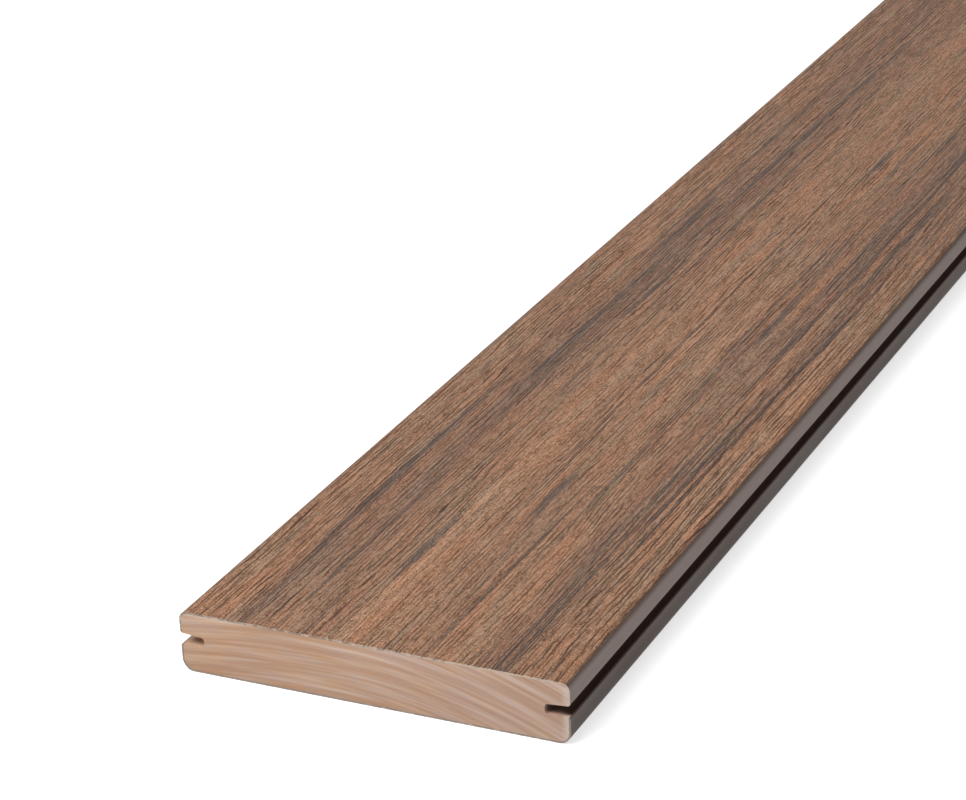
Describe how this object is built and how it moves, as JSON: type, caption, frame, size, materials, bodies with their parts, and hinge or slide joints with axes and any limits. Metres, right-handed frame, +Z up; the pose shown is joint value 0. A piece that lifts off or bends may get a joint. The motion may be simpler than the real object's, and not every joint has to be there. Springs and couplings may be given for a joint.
{
  "type": "decking board",
  "caption": "Straight composite deck board with a thin embossed cap round a foamed core and a clip groove milled along each edge.",
  "frame": {"origin": "centre of the underside, where the board rests on its joists", "axes": "+X along the board's length, +Y across its width, +Z up through the walking face"},
  "size_m": [2.4, 0.14, 0.022],
  "materials": {
    "foamed_core": "sawn, streaky tan foam",
    "wood_grain_cap": "embossed wood grain, matte",
    "plain_cap": "smooth, matte"
  },
  "bodies": {
    "root": {"core": "foamed_core", "top_cap": "wood_grain_cap", "bottom_cap": "plain_cap"}
  },
  "joints": []
}
